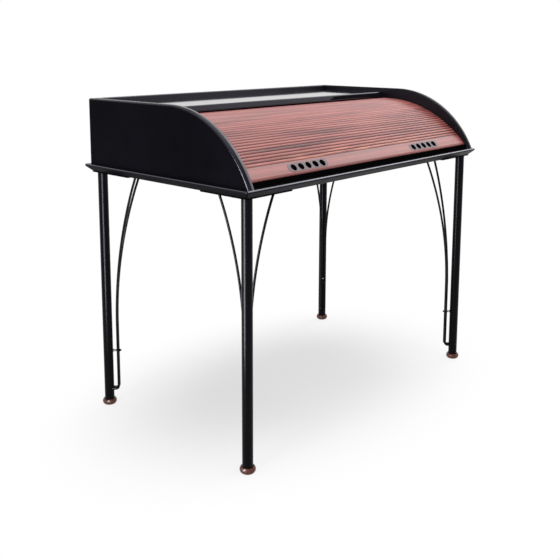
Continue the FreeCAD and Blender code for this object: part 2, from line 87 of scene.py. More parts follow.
# Settings
class DeskFinishes(bpy.types.PropertyGroup):
    """Colours and sheens of the desk's surfaces."""

    lacquer: FloatVectorProperty(
        name="Case lacquer",
        description="Satin black of the worktop, side panels and back panel",
        default=(0.0036, 0.0034, 0.0058),
        min=0.0,
        max=1.0,
        subtype="COLOR",
    )
    # Painted highlight: a pale grey painted on the worktop's front nose and on one side of each side panel's
    # narrow edge, standing in for the bright lines the lamps make there
    highlit_lacquer: FloatVectorProperty(
        name="Rubbed lacquer",
        description="Grey to which the worktop's front edge and the side panels' narrow edges are rubbed",
        default=(0.185, 0.180, 0.195),
        min=0.0,
        max=1.0,
        subtype="COLOR",
    )
    lacquer_roughness: FloatProperty(
        name="Case roughness",
        description="How far the case lacquer scatters what it mirrors",
        default=0.33,
        min=0.0,
        max=1.0,
        subtype="FACTOR",
    )
    board_lacquer: FloatVectorProperty(
        name="Top board lacquer",
        description="Glossy black of the top board",
        default=(0.009, 0.009, 0.012),
        min=0.0,
        max=1.0,
        subtype="COLOR",
    )
    steel_paint: FloatVectorProperty(
        name="Leg paint",
        description="Satin black of the legs, brace rods, clips and corner plates",
        default=(0.0022, 0.0022, 0.0024),
        min=0.0,
        max=1.0,
        subtype="COLOR",
    )
    wood_light: FloatVectorProperty(
        name="Light grain",
        description="Palest streaks of the red hardwood",
        default=(0.46, 0.138, 0.114),
        min=0.0,
        max=1.0,
        subtype="COLOR",
    )
    wood_red: FloatVectorProperty(
        name="Red grain",
        description="Usual colour of the red hardwood",
        default=(0.315, 0.074, 0.064),
        min=0.0,
        max=1.0,
        subtype="COLOR",
    )
    wood_dark: FloatVectorProperty(
        name="Dark grain",
        description="Darkest streaks of the red hardwood",
        default=(0.11, 0.024, 0.025),
        min=0.0,
        max=1.0,
        subtype="COLOR",
    )
    # Painted highlight: this warm orange on the slats next to the rail stands in for the orange glints there
    wood_glint: FloatVectorProperty(
        name="Amber grain",
        description="Warm heartwood of the slats next to the rail",
        default=(0.66, 0.235, 0.15),
        min=0.0,
        max=1.0,
        subtype="COLOR",
    )
    # Painted sheen: the upper slat rows are greyed toward this pale red for the white that they mirror at a
    # grazing view
    wood_sheen_grey: FloatVectorProperty(
        name="Faded grain",
        description="Greyer red to which the slats fade toward the top board",
        default=(0.36, 0.17, 0.17),
        min=0.0,
        max=1.0,
        subtype="COLOR",
    )
    foot_wood: FloatVectorProperty(
        name="Foot wood",
        description="Brown of the turned feet",
        default=(0.115, 0.030, 0.019),
        min=0.0,
        max=1.0,
        subtype="COLOR",
    )
    dowel_wood: FloatVectorProperty(
        name="Dowel wood",
        description="Bare beech of the dowels",
        default=(0.55, 0.36, 0.20),
        min=0.0,
        max=1.0,
        subtype="COLOR",
    )
    canvas: FloatVectorProperty(
        name="Canvas",
        description="Colour of the cloth behind the slats",
        default=(0.115, 0.075, 0.055),
        min=0.0,
        max=1.0,
        subtype="COLOR",
    )
    handle_metal: FloatVectorProperty(
        name="Handle metal",
        description="Grey of the brushed finger plates",
        default=(0.135, 0.118, 0.128),
        min=0.0,
        max=1.0,
        subtype="COLOR",
    )
    zinc: FloatVectorProperty(
        name="Zinc",
        description="Bright plating of the screws and studs",
        default=(0.62, 0.62, 0.63),
        min=0.0,
        max=1.0,
        subtype="COLOR",
    )


class DeskSizes(bpy.types.PropertyGroup):
    """Sizes of the pieces that are modelled here."""

    cloth_thickness: FloatProperty(
        name="Canvas thickness",
        description="Thickness of the woven cloth",
        default=0.0005,
        min=0.0002,
        max=0.0006,
        unit="LENGTH",
    )
    cloth_pucker: FloatProperty(
        name="Canvas pucker",
        description="How far the cloth swells between two slats",
        default=0.00010,
        min=0.0,
        max=0.0001,
        unit="LENGTH",
    )
    thread_pitch: FloatProperty(
        name="Thread pitch",
        description="Distance from one thread of the canvas to the next",
        default=0.0011,
        min=0.0003,
        max=0.003,
        unit="LENGTH",
    )
    recess_reach: FloatProperty(
        name="Cross recess",
        description="Width across the cross recess of a screw head",
        default=0.0046,
        min=0.001,
        max=0.006,
        unit="LENGTH",
    )
    recess_slot: FloatProperty(
        name="Recess slot",
        description="Width of one slot of the cross recess",
        default=0.0010,
        min=0.0004,
        max=0.002,
        unit="LENGTH",
    )
    screw_turn_seed: IntProperty(
        name="Screw turn seed",
        description="Picks how far each screw happens to be turned",
        default=7,
        min=0,
    )


class DeskStudio(bpy.types.PropertyGroup):
    """Camera, lamps and floor."""

    camera_place: FloatVectorProperty(
        name="Camera place",
        description="Where the camera stands",
        default=(-1.86682, -1.62228, 1.08564),
        subtype="TRANSLATION",
        unit="LENGTH",
    )
    camera_azimuth: FloatProperty(
        name="Camera azimuth",
        description="Turn of the camera about the upright axis",
        default=math.radians(-47.785),
        unit="ROTATION",
    )
    camera_elevation: FloatProperty(
        name="Camera elevation",
        description="How far the camera looks down",
        default=math.radians(8.820),
        unit="ROTATION",
    )
    camera_roll: FloatProperty(
        name="Camera roll",
        description="Turn of the camera about its own line of sight",
        default=math.radians(0.144),
        unit="ROTATION",
    )
    camera_lens: FloatProperty(
        name="Focal length",
        description="Focal length on a 36 mm sensor",
        default=51.030,
        min=1.0,
        unit="CAMERA",
    )
    camera_shift: FloatVectorProperty(
        name="Lens shift",
        description="Sideways and upward shift of the lens, as shares of the picture",
        default=(0.00473, -0.20154),
        min=-1.0,
        max=1.0,
        size=2,
    )
    ambient: FloatProperty(
        name="Ambient light",
        description="Strength of the even light from all round",
        default=0.55,
        min=0.0,
        max=2.0,
    )
    overhead_power: FloatProperty(
        name="Overhead power",
        description="Power of the softbox above the desk",
        default=54.0,
        min=0.0,
        subtype="POWER",
    )
    side_power: FloatProperty(
        name="Side power",
        description="Power of the upright softbox to the left of the desk",
        default=16.0,
        min=0.0,
        subtype="POWER",
    )
    strip_power: FloatProperty(
        name="Strip power",
        description="Power of the low softbox beside the legs, which shows only where it is mirrored",
        default=44.0,
        min=0.0,
        subtype="POWER",
    )
    right_power: FloatProperty(
        name="Right power",
        description="Power of the long softbox to the right of the desk",
        default=22.0,
        min=0.0,
        subtype="POWER",
    )
    floor_colour: FloatVectorProperty(
        name="Floor",
        description="Colour of the plain floor",
        default=(0.90, 0.90, 0.90),
        min=0.0,
        max=1.0,
        subtype="COLOR",
    )
    floor_radius: FloatProperty(
        name="Floor radius",
        description="Reach of the round floor",
        default=30.0,
        min=5.0,
        unit="LENGTH",
    )
    floor_drop: FloatProperty(
        name="Floor drop",
        description="Gap between the floor and the soles of the feet",
        default=0.0002,
        min=0.0,
        unit="LENGTH",
    )
    shadow_reach: FloatVectorProperty(
        name="Shadow reach",
        description="How far the shaded patch of floor reaches along X and along Y before it is white",
        default=(0.95, 0.62),
        min=0.1,
        size=2,
        unit="LENGTH",
    )
    shadow_start: FloatProperty(
        name="Shadow start",
        description="Share of the shadow's reach at which the floor starts to turn white",
        default=0.25,
        min=0.0,
        max=1.0,
        subtype="FACTOR",
    )
    shadow_lightness: FloatProperty(
        name="Shadow lightness",
        description="Share of white that is seen in the middle of the shadow",
        default=0.48,
        min=0.0,
        max=1.0,
        subtype="FACTOR",
    )


# Materials
class Finish:
    """A material in the making: its surface shader, and short ways to add the nodes that feed it."""

    def __init__(self, name, **surface):
        self.material = bpy.data.materials.new(name)
        self.material.use_nodes = True
        self.tree = self.material.node_tree
        self.surface = self.tree.nodes["Principled BSDF"]
        self.place = self.add("ShaderNodeTexCoord").outputs["Object"]
        for socket, value in surface.items():
            self.set(socket.replace("_", " "), value)

    def add(self, kind, inputs=None, **settings):
        """A new node with these settings, its sockets fed with these inputs."""
        node = self.tree.nodes.new(kind)
        for setting, value in settings.items():
            setattr(node, setting, value)
        for socket, value in (inputs or {}).items():
            self.feed(node.inputs[socket], value)
        return node

    def feed(self, socket, value):
        """Links a socket to another node's output, or sets its number or colour."""
        if isinstance(value, bpy.types.NodeSocket):
            self.tree.links.new(value, socket)
        elif socket.type == "RGBA":
            socket.default_value = (*value[:3], 1.0)
        else:
            socket.default_value = value

    def set(self, socket, value):
        """Feeds one socket of the surface shader."""
        self.feed(self.surface.inputs[socket], value)

    def stretched(self, scale, vector=None):
        """Coordinates stretched by a scale along each axis."""
        node = self.add("ShaderNodeMapping", {"Vector": vector or self.place, "Scale": scale})
        return node.outputs[0]

    def noise(self, vector, scale=1.0, detail=2.0, roughness=0.5):
        """Soft random values from 0 to 1, mostly near the middle."""
        inputs = {"Vector": vector, "Scale": scale, "Detail": detail, "Roughness": roughness}
        return self.add("ShaderNodeTexNoise", inputs).outputs[0]

    def maths(self, operation, first, *others):
        """One operation on a number alone, or on it and the others in turn."""
        result = first
        for other in others or (0.0,):
            result = self.add("ShaderNodeMath", {0: result, 1: other}, operation=operation).outputs[0]
        return result

    def span(self, value, onto, between=(0.0, 1.0)):
        """Maps a value's range between two limits onto another range, and holds it there."""
        inputs = {"Value": value}
        inputs["From Min"], inputs["From Max"] = between
        inputs["To Min"], inputs["To Max"] = onto
        return self.add("ShaderNodeMapRange", inputs).outputs[0]

    def ramp(self, factor, *stops):
        """Colour along a ramp of (position, colour) stops, in rising order."""
        node = self.add("ShaderNodeValToRGB", {"Fac": factor})
        elements = node.color_ramp.elements
        elements.remove(elements[1])
        for position, colour in stops[1:]:
            elements.new(position).color = (*colour, 1.0)
        elements[0].position = stops[0][0]
        elements[0].color = (*stops[0][1], 1.0)
        return node.outputs["Color"]

    def mixed(self, factor, first, second):
        """One colour over another, through those of the node's sockets that are for colours."""
        node = self.add("ShaderNodeMix", data_type="RGBA")
        self.feed(node.inputs[0], factor)
        self.feed(node.inputs[6], first)
        self.feed(node.inputs[7], second)
        return node.outputs[2]

    def bump(self, height, strength, distance, under=None):
        """Small relief, laid over another one where one is given."""
        inputs = {"Height": height, "Strength": strength, "Distance": distance}
        if under is not None:
            inputs["Normal"] = under
        return self.add("ShaderNodeBump", inputs).outputs[0]

    def worn_edges(self, radius):
        """Near 1 on edges and 0 on flat faces, broken up as rubbing breaks it."""
        rounded = self.add("ShaderNodeBevel", {"Radius": radius}).outputs[0]
        true = self.add("ShaderNodeNewGeometry").outputs["Normal"]
        node = self.add("ShaderNodeVectorMath", {0: rounded, 1: true}, operation="DOT_PRODUCT")
        edge = self.span(node.outputs["Value"], (1.0, 0.0), (0.90, 0.995))
        return self.maths("MULTIPLY", edge, self.noise(self.place, scale=160.0, detail=3.0))

    def track_coordinates(self):
        """Coordinates along a slat, and across the slats along the track."""
        parts = self.add("ShaderNodeSeparateXYZ", {0: self.place}).outputs
        forward = self.maths("SUBTRACT", AXIS_Y, parts["Y"])
        above = self.maths("SUBTRACT", parts["Z"], AXIS_Z)
        angle = self.maths("ARCTAN2", forward, above)
        across = self.maths("MULTIPLY", angle, TRACK_RADIUS)
        return parts["X"], across


# Faint violet of what the black lacquer and the black paint mirror
BLACK_SHEEN = (0.84, 0.83, 1.0)

# Most noise lies between these values
NOISE_CORE = (0.3, 0.7)

# A panel's narrow edge falls by this many metres for each square metre off its middle line, and turns from
# plain lacquer to the grey of a painted highlight between these distances from that line
EDGE_FALL = 65.0
HIGHLIT_BAND = (-0.001, 0.003)


def shade(colour, factor):
    """A colour made lighter or darker."""
    return tuple(min(1.0, channel * factor) for channel in colour[:3])


def lacquer(name, colour, roughness, specular, edge=None):
    """Sprayed black lacquer: faint cloudiness, smears, orange peel and worn edges.

    For a panel's narrow edge, edge is the X of its middle line and the grey painted on one side of it as a
    highlight.
    """
    finish = Finish(name, Specular_IOR_Level=specular, Specular_Tint=BLACK_SHEEN)
    cloud = finish.noise(finish.place, scale=5.0, detail=4.0, roughness=0.6)
    film = finish.ramp(cloud, (0.3, shade(colour, 0.75)), (0.7, shade(colour, 1.3)))
    film = finish.mixed(finish.worn_edges(0.003), film, shade(colour, 3.0))
    rounding = None
    if edge:
        film, rounding = eased_edge(finish, film, *edge)
    finish.set("Base Color", film)
    smear = finish.noise(finish.stretched((7.0, 7.0, 16.0)), detail=5.0, roughness=0.65)
    finish.set("Roughness", finish.span(smear, (roughness * 0.8, roughness * 1.25), NOISE_CORE))
    peel = finish.noise(finish.place, scale=420.0, detail=1.5)
    finish.set("Normal", finish.bump(peel, strength=0.03, distance=0.0002, under=rounding))
    return finish.material


def eased_edge(finish, film, middle, highlit):
    """Colour and relief of a narrow edge, sanded round about its middle line, one side painted pale as a
    highlight.
    """
    sideways = finish.add("ShaderNodeSeparateXYZ", {0: finish.place}).outputs["X"]
    off_middle = finish.maths("SUBTRACT", sideways, middle)
    fall = finish.maths("MULTIPLY", off_middle, off_middle, -EDGE_FALL)
    # Painted highlight: one side of the edge turns to the highlight grey
    pale = finish.span(off_middle, (0.0, 1.0), HIGHLIT_BAND)
    return finish.mixed(pale, film, highlit), finish.bump(fall, strength=1.0, distance=1.0)


def painted_steel(name, colour, specular):
    """Black powder coat on steel: a fine even grit, with the shine broken up by handling."""
    finish = Finish(name, Specular_IOR_Level=specular, Specular_Tint=BLACK_SHEEN)
    cloud = finish.noise(finish.place, scale=14.0, detail=3.0)
    film = finish.ramp(cloud, (0.3, shade(colour, 0.8)), (0.7, shade(colour, 1.3)))
    finish.set("Base Color", finish.mixed(finish.worn_edges(0.0012), film, shade(colour, 6.0)))
    smear = finish.noise(finish.stretched((30.0, 30.0, 6.0)), detail=4.0)
    finish.set("Roughness", finish.span(smear, (0.20, 0.27), NOISE_CORE))
    grit = finish.noise(finish.place, scale=1600.0)
    finish.set("Normal", finish.bump(grit, strength=0.01, distance=0.0001))
    return finish.material


class Hardwood(Finish):
    """Red hardwood with its grain along X, sawn into strips as wide as the step from slat to slat.

    Each strip lies at its own depth in the tree, and at its own place along it within board_spread.
    """

    def __init__(self, name, colours, specular, board_spread):
        super().__init__(name, Specular_IOR_Level=specular)
        self.colours = colours
        self.along, self.across = self.track_coordinates()
        self.row = self.maths("DIVIDE", self.maths("SUBTRACT", RAIL_HIGH, self.across), SLAT_STEP)
        strip = self.maths("FLOOR", self.row)
        self.chance = self.add("ShaderNodeTexWhiteNoise", {"W": strip}, noise_dimensions="1D").outputs[0]
        start = self.maths("ADD", self.along, self.maths("MULTIPLY", self.chance, board_spread))
        depth = self.maths("MULTIPLY", self.chance, 4.0)
        self.grain = self.add("ShaderNodeCombineXYZ", {0: start, 1: self.across, 2: depth}).outputs[0]
        figure = self.noise(self.stretched((1.6, 70.0, 1.0), self.grain), detail=5.0, roughness=0.55)
        self.streak = self.noise(self.stretched((5.0, 620.0, 1.0), self.grain), detail=4.0, roughness=0.6)
        figure_share = self.maths("MULTIPLY", figure, 0.62)
        streak_share = self.maths("MULTIPLY", self.streak, 0.38)
        self.tone = self.maths("ADD", figure_share, streak_share)

    def tinted(self, tone):
        """Colour of the grain from its dark streaks to its light ones."""
        colours = self.colours
        stops = ((0.30, colours.wood_dark), (0.48, colours.wood_red), (0.70, colours.wood_light))
        return self.ramp(tone, *stops)

    def gap_shaded(self, gap_shade, colour):
        """A colour with painted shade over it, where one piece meets the next."""
        return self.mixed(gap_shade, colour, shade(self.colours.wood_dark, 0.35))

    def sealed(self, colour):
        """The finished material, with open pores, worn edges and fine relief along its streaks."""
        pore = self.noise(self.stretched((70.0, 2600.0, 1.0), self.grain))
        open_pore = self.span(pore, (0.0, 0.45), (0.60, 0.72))
        colour = self.mixed(open_pore, colour, shade(self.colours.wood_dark, 0.55))
        worn = self.maths("MULTIPLY", self.worn_edges(0.0015), 0.35)
        self.set("Base Color", self.mixed(worn, colour, self.colours.wood_light))
        self.set("Roughness", self.span(self.streak, (0.34, 0.46), NOISE_CORE))
        self.set("Normal", self.bump(self.streak, strength=0.12, distance=0.0002))
        return self.material


# Where the slats' painted sheen, painted highlight and painted shade in the gaps change: in rows of slats up
# from the rail, and in metres along a slat
SHEEN_ROWS = (6.0, 28.0)
GLINT_ROWS = (1.0, 3.0)
GLINT_LEFT = (-0.40, -0.34)
GLINT_RIGHT = (0.28, 0.50)
GAP_SHADE_ROWS = (8.0, 18.0)
WIDER_GAP_SHADE = (0.0, 0.45)

# Height of the painted shade on the rail where the lowest slat meets it
RAIL_GAP_SHADE = 0.0034


def slat_wood(name, colours):
    """Slats from boards of their own, with dark zones, a painted sheen on the top rows, a painted orange
    highlight next to the rail and painted shade in the gaps.
    """
    wood = Hardwood(name, colours, specular=0.52, board_spread=9.0)
    place = wood.add("ShaderNodeCombineXYZ", {0: wood.along, 1: wood.across}).outputs[0]
    zone = wood.noise(wood.stretched((2.6, 40.0, 1.0), place), detail=4.0)
    by_board = wood.span(wood.chance, (-0.075, 0.075))
    by_zone = wood.span(zone, (-0.17, 0.15), NOISE_CORE)
    colour = wood.tinted(wood.maths("ADD", wood.tone, by_board, by_zone))
    # Painted sheen: the upper rows are greyed toward a pale red for the white they mirror at a grazing view
    sheen_grey = wood.span(wood.row, (0.0, 0.30), SHEEN_ROWS)
    colour = wood.mixed(sheen_grey, colour, colours.wood_sheen_grey)
    # Painted highlight: warm orange patches on the slats next to the rail stand in for the orange glints
    # there
    glint_patches = wood.noise(wood.stretched((14.0, 160.0, 1.0), wood.grain), detail=3.0)
    glint = wood.maths(
        "MULTIPLY",
        wood.span(wood.row, (1.0, 0.0), GLINT_ROWS),
        wood.span(glint_patches, (0.0, 0.8), (0.38, 0.66)),
        wood.span(wood.along, (0.0, 1.0), GLINT_LEFT),
        wood.span(wood.along, (1.0, 0.0), GLINT_RIGHT),
    )
    colour = wood.mixed(glint, colour, colours.wood_glint)
    # Painted shade in the gaps between slats, broadest toward the right and fading out toward the top rows
    from_middle = wood.maths("ABSOLUTE", wood.maths("SUBTRACT", wood.maths("FRACT", wood.row), 0.5))
    ragged = wood.noise(wood.stretched((26.0, 90.0, 1.0), wood.grain), detail=3.0)
    ragged = wood.span(ragged, (-0.05, 0.05))
    wider_shade = wood.span(wood.along, (0.0, 0.08), WIDER_GAP_SHADE)
    gap_shade = wood.span(wood.maths("ADD", from_middle, ragged, wider_shade), (0.0, 0.95), (0.28, 0.44))
    gap_shade = wood.maths("MULTIPLY", gap_shade, wood.span(wood.row, (1.0, 0.05), GAP_SHADE_ROWS))
    return wood.sealed(wood.gap_shaded(gap_shade, colour))


def rail_wood(name, colours):
    """The rail, glued up from strips that lie side by side, with painted shade where the lowest slat meets
    it.
    """
    wood = Hardwood(name, colours, specular=0.92, board_spread=0.0)
    colour = wood.tinted(wood.span(wood.tone, (0.14, 0.77)))
    # Painted shade along the rail's top, where the lowest slat meets it
    gap_shade = wood.span(wood.across, (1.0, 0.0), (RAIL_HIGH, RAIL_HIGH + RAIL_GAP_SHADE))
    return wood.sealed(wood.gap_shaded(gap_shade, colour))


def turned_wood(name, colour, gloss):
    """Wood with its grain upright, as a turner sets it up, under a glossy or a bare surface."""
    finish = Finish(name, Specular_IOR_Level=0.25, Coat_Weight=gloss, Coat_Roughness=0.22)
    rings = finish.noise(finish.stretched((260.0, 260.0, 18.0)), detail=4.0, roughness=0.6)
    tint = finish.ramp(rings, (0.30, shade(colour, 0.42)), (0.52, colour), (0.72, shade(colour, 1.6)))
    finish.set("Base Color", finish.mixed(finish.worn_edges(0.0015), tint, shade(colour, 1.9)))
    finish.set("Roughness", finish.span(rings, (0.30, 0.45)))
    finish.set("Normal", finish.bump(rings, strength=0.10, distance=0.0002))
    return finish.material


def brushed_metal(name, colour, roughness, brushing):
    """Bare metal with fine lines along the direction in which it was brushed."""
    finish = Finish(name, Metallic=1.0)
    lines = finish.noise(finish.stretched(brushing), detail=3.0, roughness=0.6)
    patina = finish.noise(finish.place, scale=55.0, detail=4.0)
    bright = finish.ramp(lines, (0.3, shade(colour, 0.82)), (0.7, shade(colour, 1.15)))
    stained = finish.span(patina, (0.0, 0.35), (0.5, 0.75))
    finish.set("Base Color", finish.mixed(stained, bright, shade(colour, 0.6)))
    finish.set("Roughness", finish.span(lines, (roughness * 0.85, roughness * 1.2)))
    finish.set("Normal", finish.bump(lines, strength=0.12, distance=0.0001))
    return finish.material


def woven_canvas(name, colour, pitch):
    """Plain weave: threads over and under each other along and across the slats."""
    finish = Finish(name, Specular_IOR_Level=0.2, Sheen_Weight=0.25, Sheen_Roughness=0.6)
    along, across = finish.track_coordinates()
    turn = 2 * math.pi / pitch
    warp = finish.maths("SINE", finish.maths("MULTIPLY", along, turn))
    weft = finish.maths("SINE", finish.maths("MULTIPLY", across, turn))
    over = finish.maths("MULTIPLY", warp, weft)
    slub = finish.noise(finish.stretched((900.0, 60.0, 60.0)), detail=3.0)
    weave = finish.span(over, (0.0, 0.6), (-1.0, 1.0))
    tone = finish.maths("ADD", weave, finish.maths("MULTIPLY", slub, 0.4))
    finish.set("Base Color", finish.ramp(tone, (0.15, shade(colour, 0.55)), (0.85, shade(colour, 1.35))))
    finish.set("Roughness", finish.span(slub, (0.80, 0.95)))
    finish.set("Normal", finish.bump(over, strength=0.6, distance=pitch * 0.2))
    return finish.material


def matt_film(name, level, roughness):
    """Black rubber, black paint or dull zinc, with a fine dusty tooth and no shine."""
    finish = Finish(name, Specular_IOR_Level=0.0)
    dust = finish.noise(finish.place, scale=240.0, detail=4.0, roughness=0.6)
    grey = (level, level, level)
    finish.set("Base Color", finish.ramp(dust, (0.35, grey), (0.75, shade(grey, 2.2))))
    finish.set("Roughness", finish.span(dust, (roughness * 0.9, min(1.0, roughness * 1.15))))
    finish.set("Normal", finish.bump(dust, strength=0.15, distance=0.0002))
    return finish.material


# Grey level and roughness of the black painted into the finger holes and their pockets as painted shade
HOLE_SHADE_PAINT = (0.003, 0.85)


def dress(names, material):
    """Gives CAD nodes a finish."""
    for name in names:
        slots = NODES[name].material_slots
        if not slots:
            raise RuntimeError("no material slot on node " + name)
        slots[0].material = material


def dress_faces(name, material, wanted):
    """Gives another finish to those faces of a CAD node that a test picks out."""
    data = NODES[name].data
    data.materials.append(material)
    for face in data.polygons:
        if wanted(face):
            face.material_index = len(data.materials) - 1


def nodes_named(*starts):
    """Nodes whose names start with any of these words."""
    found = [name for name in sorted(NODES) if name.startswith(starts)]
    if not found:
        raise RuntimeError("no node is named " + " or ".join(starts))
    return found


# Meshes
def new_piece(name, mesh, body, slot, *nodes):
    """A new mesh object that rides on a body and stands for CAD nodes."""
    data = bpy.data.meshes.new(name)
    mesh.to_mesh(data)
    mesh.free()
    data.shade_smooth()
    data.set_sharp_from_angle(angle=math.radians(35))
    piece = bpy.data.objects.new(name, data)
    bpy.context.scene.collection.objects.link(piece)
    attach(piece, body)
    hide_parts(*nodes)
    return piece


def lathe(profile, sides):
    """A closed mesh turned about Z from (radius, height) points."""
    mesh = bmesh.new()
    turns = [2 * math.pi * side / sides for side in range(sides)]
    rings = []
    for radius, height in profile:
        if radius == 0.0:
            ring = [mesh.verts.new((0.0, 0.0, height))] * sides
        else:
            ring = [mesh.verts.new((radius * math.cos(t), radius * math.sin(t), height)) for t in turns]
        rings.append(ring)
    for lower, upper in zip(rings, rings[1:]):
        for side in range(sides):
            after = (side + 1) % sides
            corners = [lower[side], lower[after], upper[after], upper[side]]
            mesh.faces.new(list(dict.fromkeys(corners)))
    bmesh.ops.recalc_face_normals(mesh, faces=mesh.faces)
    return mesh


def cut_out(body, cutter):
    """The mesh of a body with a cutter's room taken out of it."""
    holders = []
    for part in (body, cutter):
        data = bpy.data.meshes.new("cut")
        part.to_mesh(data)
        part.free()
        holders.append(bpy.data.objects.new("cut", data))
        bpy.context.scene.collection.objects.link(holders[-1])
    whole, tool = holders
    cut = whole.modifiers.new("cut", "BOOLEAN")
    cut.operation = "DIFFERENCE"
    cut.solver = "EXACT"
    cut.use_self = True
    cut.object = tool
    graph = bpy.context.evaluated_depsgraph_get()
    result = bpy.data.meshes.new_from_object(whole.evaluated_get(graph))
    for holder in holders:
        data = holder.data
        bpy.data.objects.remove(holder)
        bpy.data.meshes.remove(data)
    return result


# Pieces

# A face looks along an axis where its normal has more than this share of it
LOOKS_ALONG = 0.1


class DESK_OT_case(bpy.types.Operator):
    """Lacquer the worktop, the side panels, the back panel and the top board"""

    bl_idname = "desk.case"
    bl_label = "Case"

    # Height of the worktop's upright nose, in metres
    nose_height = 0.0065

    # Shares of X in the normals of a side panel's rounded arrises, from its narrow edge to its wide face
    arris_start = 0.12
    arris_stop = 0.98

    def execute(self, context):
        finishes = context.scene.desk_finishes
        coats = self.coats(finishes)
        self.coat_side_panels(finishes, coats)
        self.coat_worktop(finishes, coats)
        dress(["back_panel"], coats["back_panel"])
        gloss = lacquer("gloss_black_lacquer", finishes.board_lacquer, roughness=0.05, specular=0.5)
        dress(["top_board"], gloss)
        return {"FINISHED"}

    def coats(self, finishes):
        """The case lacquer with the roughness and the specular level that it has at each place."""
        usual = finishes.lacquer_roughness
        sheens = {
            "satin": (usual, 0.013),
            "back": (usual, 0.33),
            "back_panel": (usual, 0.5),
            "arris": (0.20, 0.24),
            "rim": (0.26, 0.08),
            "nose": (0.12, 1.0),
            "worktop": (0.24, 0.15),
            "under": (0.24, 0.0),
            "bevel": (0.24, 0.005),
            "front_bevel": (0.26, 0.02),
        }
        return {
            place: lacquer(place + "_black_lacquer", finishes.lacquer, *sheen)
            for place, sheen in sheens.items()
        }

    def coat_side_panels(self, finishes, coats):
        """Wide faces, narrow edges and the arrises between them. The left panel's edge gets the palest
        painted highlight.
        """
        # The last number sets how pale the painted highlight on each panel's narrow edge is
        panels = (("side_panel_left", "nose", "arris", 0.75), ("side_panel_right", "rim", "satin", 0.12))
        for name, inner, outer, paleness in panels:
            low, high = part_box(name)
            middle = (low.x + high.x) / 2
            inward = -math.copysign(1.0, middle)
            highlit = shade(finishes.highlit_lacquer, paleness)
            edge = lacquer(
                name + "_edge", finishes.lacquer, roughness=0.22, specular=0.15, edge=(middle, highlit)
            )

            def on_edge(face):
                return abs(face.normal.x) < self.arris_start

            def on_arris(face, way):
                return self.arris_start <= face.normal.x * way < self.arris_stop

            dress([name], coats["satin"])
            dress_faces(name, edge, on_edge)
            dress_faces(name, coats[inner], lambda face: on_arris(face, inward))
            dress_faces(name, coats[outer], lambda face: on_arris(face, -inward))
            dress_faces(name, coats["back"], lambda face: face.normal.x * inward >= self.arris_stop)

    def coat_worktop(self, finishes, coats):
        """The slab, its nose and rim, its front edge painted pale as a highlight, its underside and its
        bevels.
        """
        nose_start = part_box("worktop")[1].z - self.nose_height
        # Painted highlight: the front nose is lacquered pale grey for the bright line along it
        highlit = lacquer("highlit_black_lacquer", finishes.highlit_lacquer, roughness=0.12, specular=1.0)

        def on_rim(face):
            level = face.normal.z >= 0.99
            return face.center.z > nose_start and not level

        def on_nose(face):
            square = abs(face.normal.x * face.normal.y) < 0.001
            return on_rim(face) and face.normal.z > LOOKS_ALONG and square

        def on_front_nose(face):
            return on_nose(face) and face.normal.y < -LOOKS_ALONG

        def on_underside(face):
            return face.center.z < nose_start and face.normal.z < 0.0

        def on_left_bevel(face):
            return face.normal.x < -LOOKS_ALONG and face.normal.z < -LOOKS_ALONG

        def on_front_bevel(face):
            return face.normal.y < -LOOKS_ALONG and face.normal.z < -LOOKS_ALONG

        dress(["worktop"], coats["worktop"])
        dress_faces("worktop", coats["rim"], on_rim)
        dress_faces("worktop", coats["nose"], on_nose)
        dress_faces("worktop", highlit, on_front_nose)
        dress_faces("worktop", coats["under"], on_underside)
        dress_faces("worktop", coats["bevel"], on_left_bevel)
        dress_faces("worktop", coats["front_bevel"], on_front_bevel)


class DESK_OT_frame(bpy.types.Operator):
    """Paint the legs, the brace rods, the clips and the corner plates"""

    bl_idname = "desk.frame"
    bl_label = "Legs and braces"

    def execute(self, context):
        colour = context.scene.desk_finishes.steel_paint
        coat = painted_steel("black_powder_coat", colour, specular=0.075)
        dress(nodes_named("leg_", "brace_clips"), coat)
        dress(["corner_plates"], painted_steel("matt_black_powder_coat", colour, specular=0.0))
        return {"FINISHED"}


class DESK_OT_feet(bpy.types.Operator):
    """Stain and varnish the turned feet, and leave the dowels bare"""

    bl_idname = "desk.feet"
    bl_label = "Feet and dowels"

    def execute(self, context):
        finishes = context.scene.desk_finishes
        feet = [name for name in nodes_named("foot_") if name != "foot_studs"]
        dress(feet, turned_wood("varnished_foot_wood", finishes.foot_wood, gloss=0.12))
        dress(["carcass_dowels"], turned_wood("bare_beech", finishes.dowel_wood, gloss=0.0))
        return {"FINISHED"}


class DESK_OT_tambour(bpy.types.Operator):
    """Finish the slats and the rail in red hardwood, and paint the rail's finger pockets black as painted
    shade
    """

    bl_idname = "desk.tambour"
    bl_label = "Slats and rail"

    def execute(self, context):
        finishes = context.scene.desk_finishes
        dress(SLATS, slat_wood("tambour_slat_wood", finishes))
        dress(["tambour_rail"], rail_wood("tambour_rail_wood", finishes))
        # Painted shade: the pockets behind the finger holes are painted black
        dress_faces("tambour_rail", matt_film("pocket_shade_black", *HOLE_SHADE_PAINT), self.in_pockets())
        return {"FINISHED"}

    def in_pockets(self):
        """A test for the rail's faces that lie under a handle plate, in the outer half of the rail there."""
        plates = [(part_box(name), track_reach(name)) for name in nodes_named("handle_plate")]

        def wanted(face):
            angle, radius = track_place(face.center)
            for (low, high), (start, stop, seat, _) in plates:
                under_plate = low.x < face.center.x < high.x and start < angle < stop
                if under_plate and (RAIL_BACK_RADIUS + seat) / 2 < radius < seat:
                    return True
            return False

        return wanted


